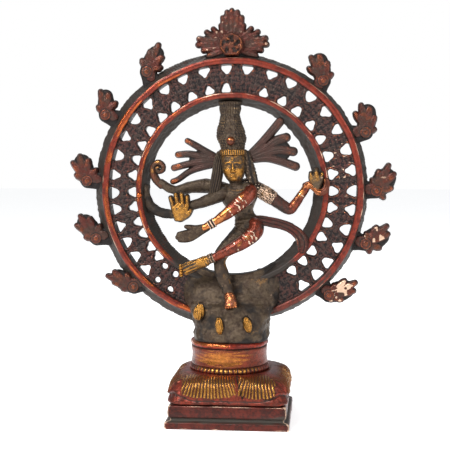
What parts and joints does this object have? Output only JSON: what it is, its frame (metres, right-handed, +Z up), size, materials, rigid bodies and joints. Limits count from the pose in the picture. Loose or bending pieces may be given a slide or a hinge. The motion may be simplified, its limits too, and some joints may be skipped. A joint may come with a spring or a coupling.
{
  "type": "brass nataraja statue",
  "caption": "Cast brass figure of a four-armed dancer inside a pierced ring edged with flames, on a lotus cushion and a square stepped plinth.",
  "frame": {"origin": "centre of the plinth's square foot, on the surface it stands on", "axes": "+X to the viewer's right, +Y from the figure's front to its back, +Z up"},
  "size_m": [0.163, 0.0586, 0.2],
  "materials": {
    "lacquer": "worn red lacquer over cast brass",
    "patina": "dark brown patina with rubbed high spots",
    "lattice": "purple-brown pierced casting with dark recesses",
    "gilt": "rubbed bright brass",
    "copper": "copper-coloured worn brass",
    "fixing": "plain turned"
  },
  "bodies": {
    "root": {"plinth": "lacquer", "lotus_cushion": "lacquer", "drum_foot_bead": "gilt", "drum": "lacquer", "drum_top_bead": "lacquer", "mount_stud": "fixing", "mount_washer": "fixing", "mount_nut": "fixing", "rock_mound": "patina", "mound_boss_left": "gilt", "mound_boss_middle": "gilt", "mound_boss_right": "gilt", "outer_rim": "lacquer", "inner_rim": "lacquer", "lattice_band": "lattice", "crest_fan": "patina", "crest_rosette": "copper", "torso": "patina", "head": "gilt", "crown": "patina", "diadem": "gilt", "crown_jewel": "copper", "hair_fan_left": "patina", "hair_fan_right": "patina", "side_lock_left": "patina", "side_lock_right": "patina", "drum_arm": "patina", "flame_arm": "lacquer", "blessing_arm": "patina", "crossing_arm": "lacquer", "serpent": "copper", "blessing_palm": "gilt", "palm_strut": "patina", "crossing_hand": "lacquer", "flame_hand": "copper", "palm_flame": "patina", "standing_leg": "patina", "raised_leg": "lacquer", "standing_foot": "gilt", "raised_foot": "gilt", "sash": "patina", "armlet": "patina", "bracelet": "lacquer", "anklet": "lacquer", "flame_left_1": "patina", "flame_left_2": "patina", "flame_left_3": "patina", "flame_left_4": "patina", "flame_left_5": "patina", "flame_right_1": "patina", "flame_right_2": "patina", "flame_right_3": "patina", "flame_right_4": "patina", "flame_right_5": "patina"}
  },
  "joints": []
}
